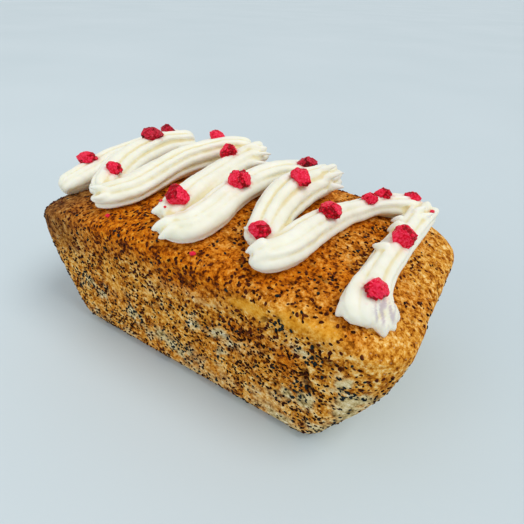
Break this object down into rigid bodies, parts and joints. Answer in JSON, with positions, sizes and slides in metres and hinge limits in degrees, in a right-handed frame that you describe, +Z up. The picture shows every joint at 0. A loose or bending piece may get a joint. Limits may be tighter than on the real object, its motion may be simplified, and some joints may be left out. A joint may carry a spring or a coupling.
{
  "type": "poppy seed loaf cake",
  "caption": "Whole poppy seed loaf cake with a domed top, a zigzag ribbon of piped cream frosting and scattered freeze-dried raspberry pieces.",
  "frame": {"origin": "centre of the base, on the surface the cake stands on", "axes": "+X along the loaf towards the end where the frosting finishes, +Y towards its back long side, +Z up"},
  "size_m": [0.181, 0.097, 0.088],
  "materials": {
    "crust": "matte baked crust speckled with dark poppy seeds",
    "cream": "soft satin cream frosting",
    "berry": "dry matte freeze-dried raspberry"
  },
  "bodies": {
    "root": {"loaf_cake": "crust", "frosting_ribbon": "cream", "raspberry_01": "berry", "raspberry_02": "berry", "raspberry_03": "berry", "raspberry_04": "berry", "raspberry_05": "berry", "raspberry_06": "berry", "raspberry_07": "berry", "raspberry_08": "berry", "raspberry_09": "berry", "raspberry_10": "berry", "raspberry_11": "berry", "raspberry_12": "berry", "raspberry_13": "berry", "raspberry_14": "berry", "raspberry_15": "berry", "raspberry_16": "berry", "raspberry_17": "berry"}
  },
  "joints": []
}
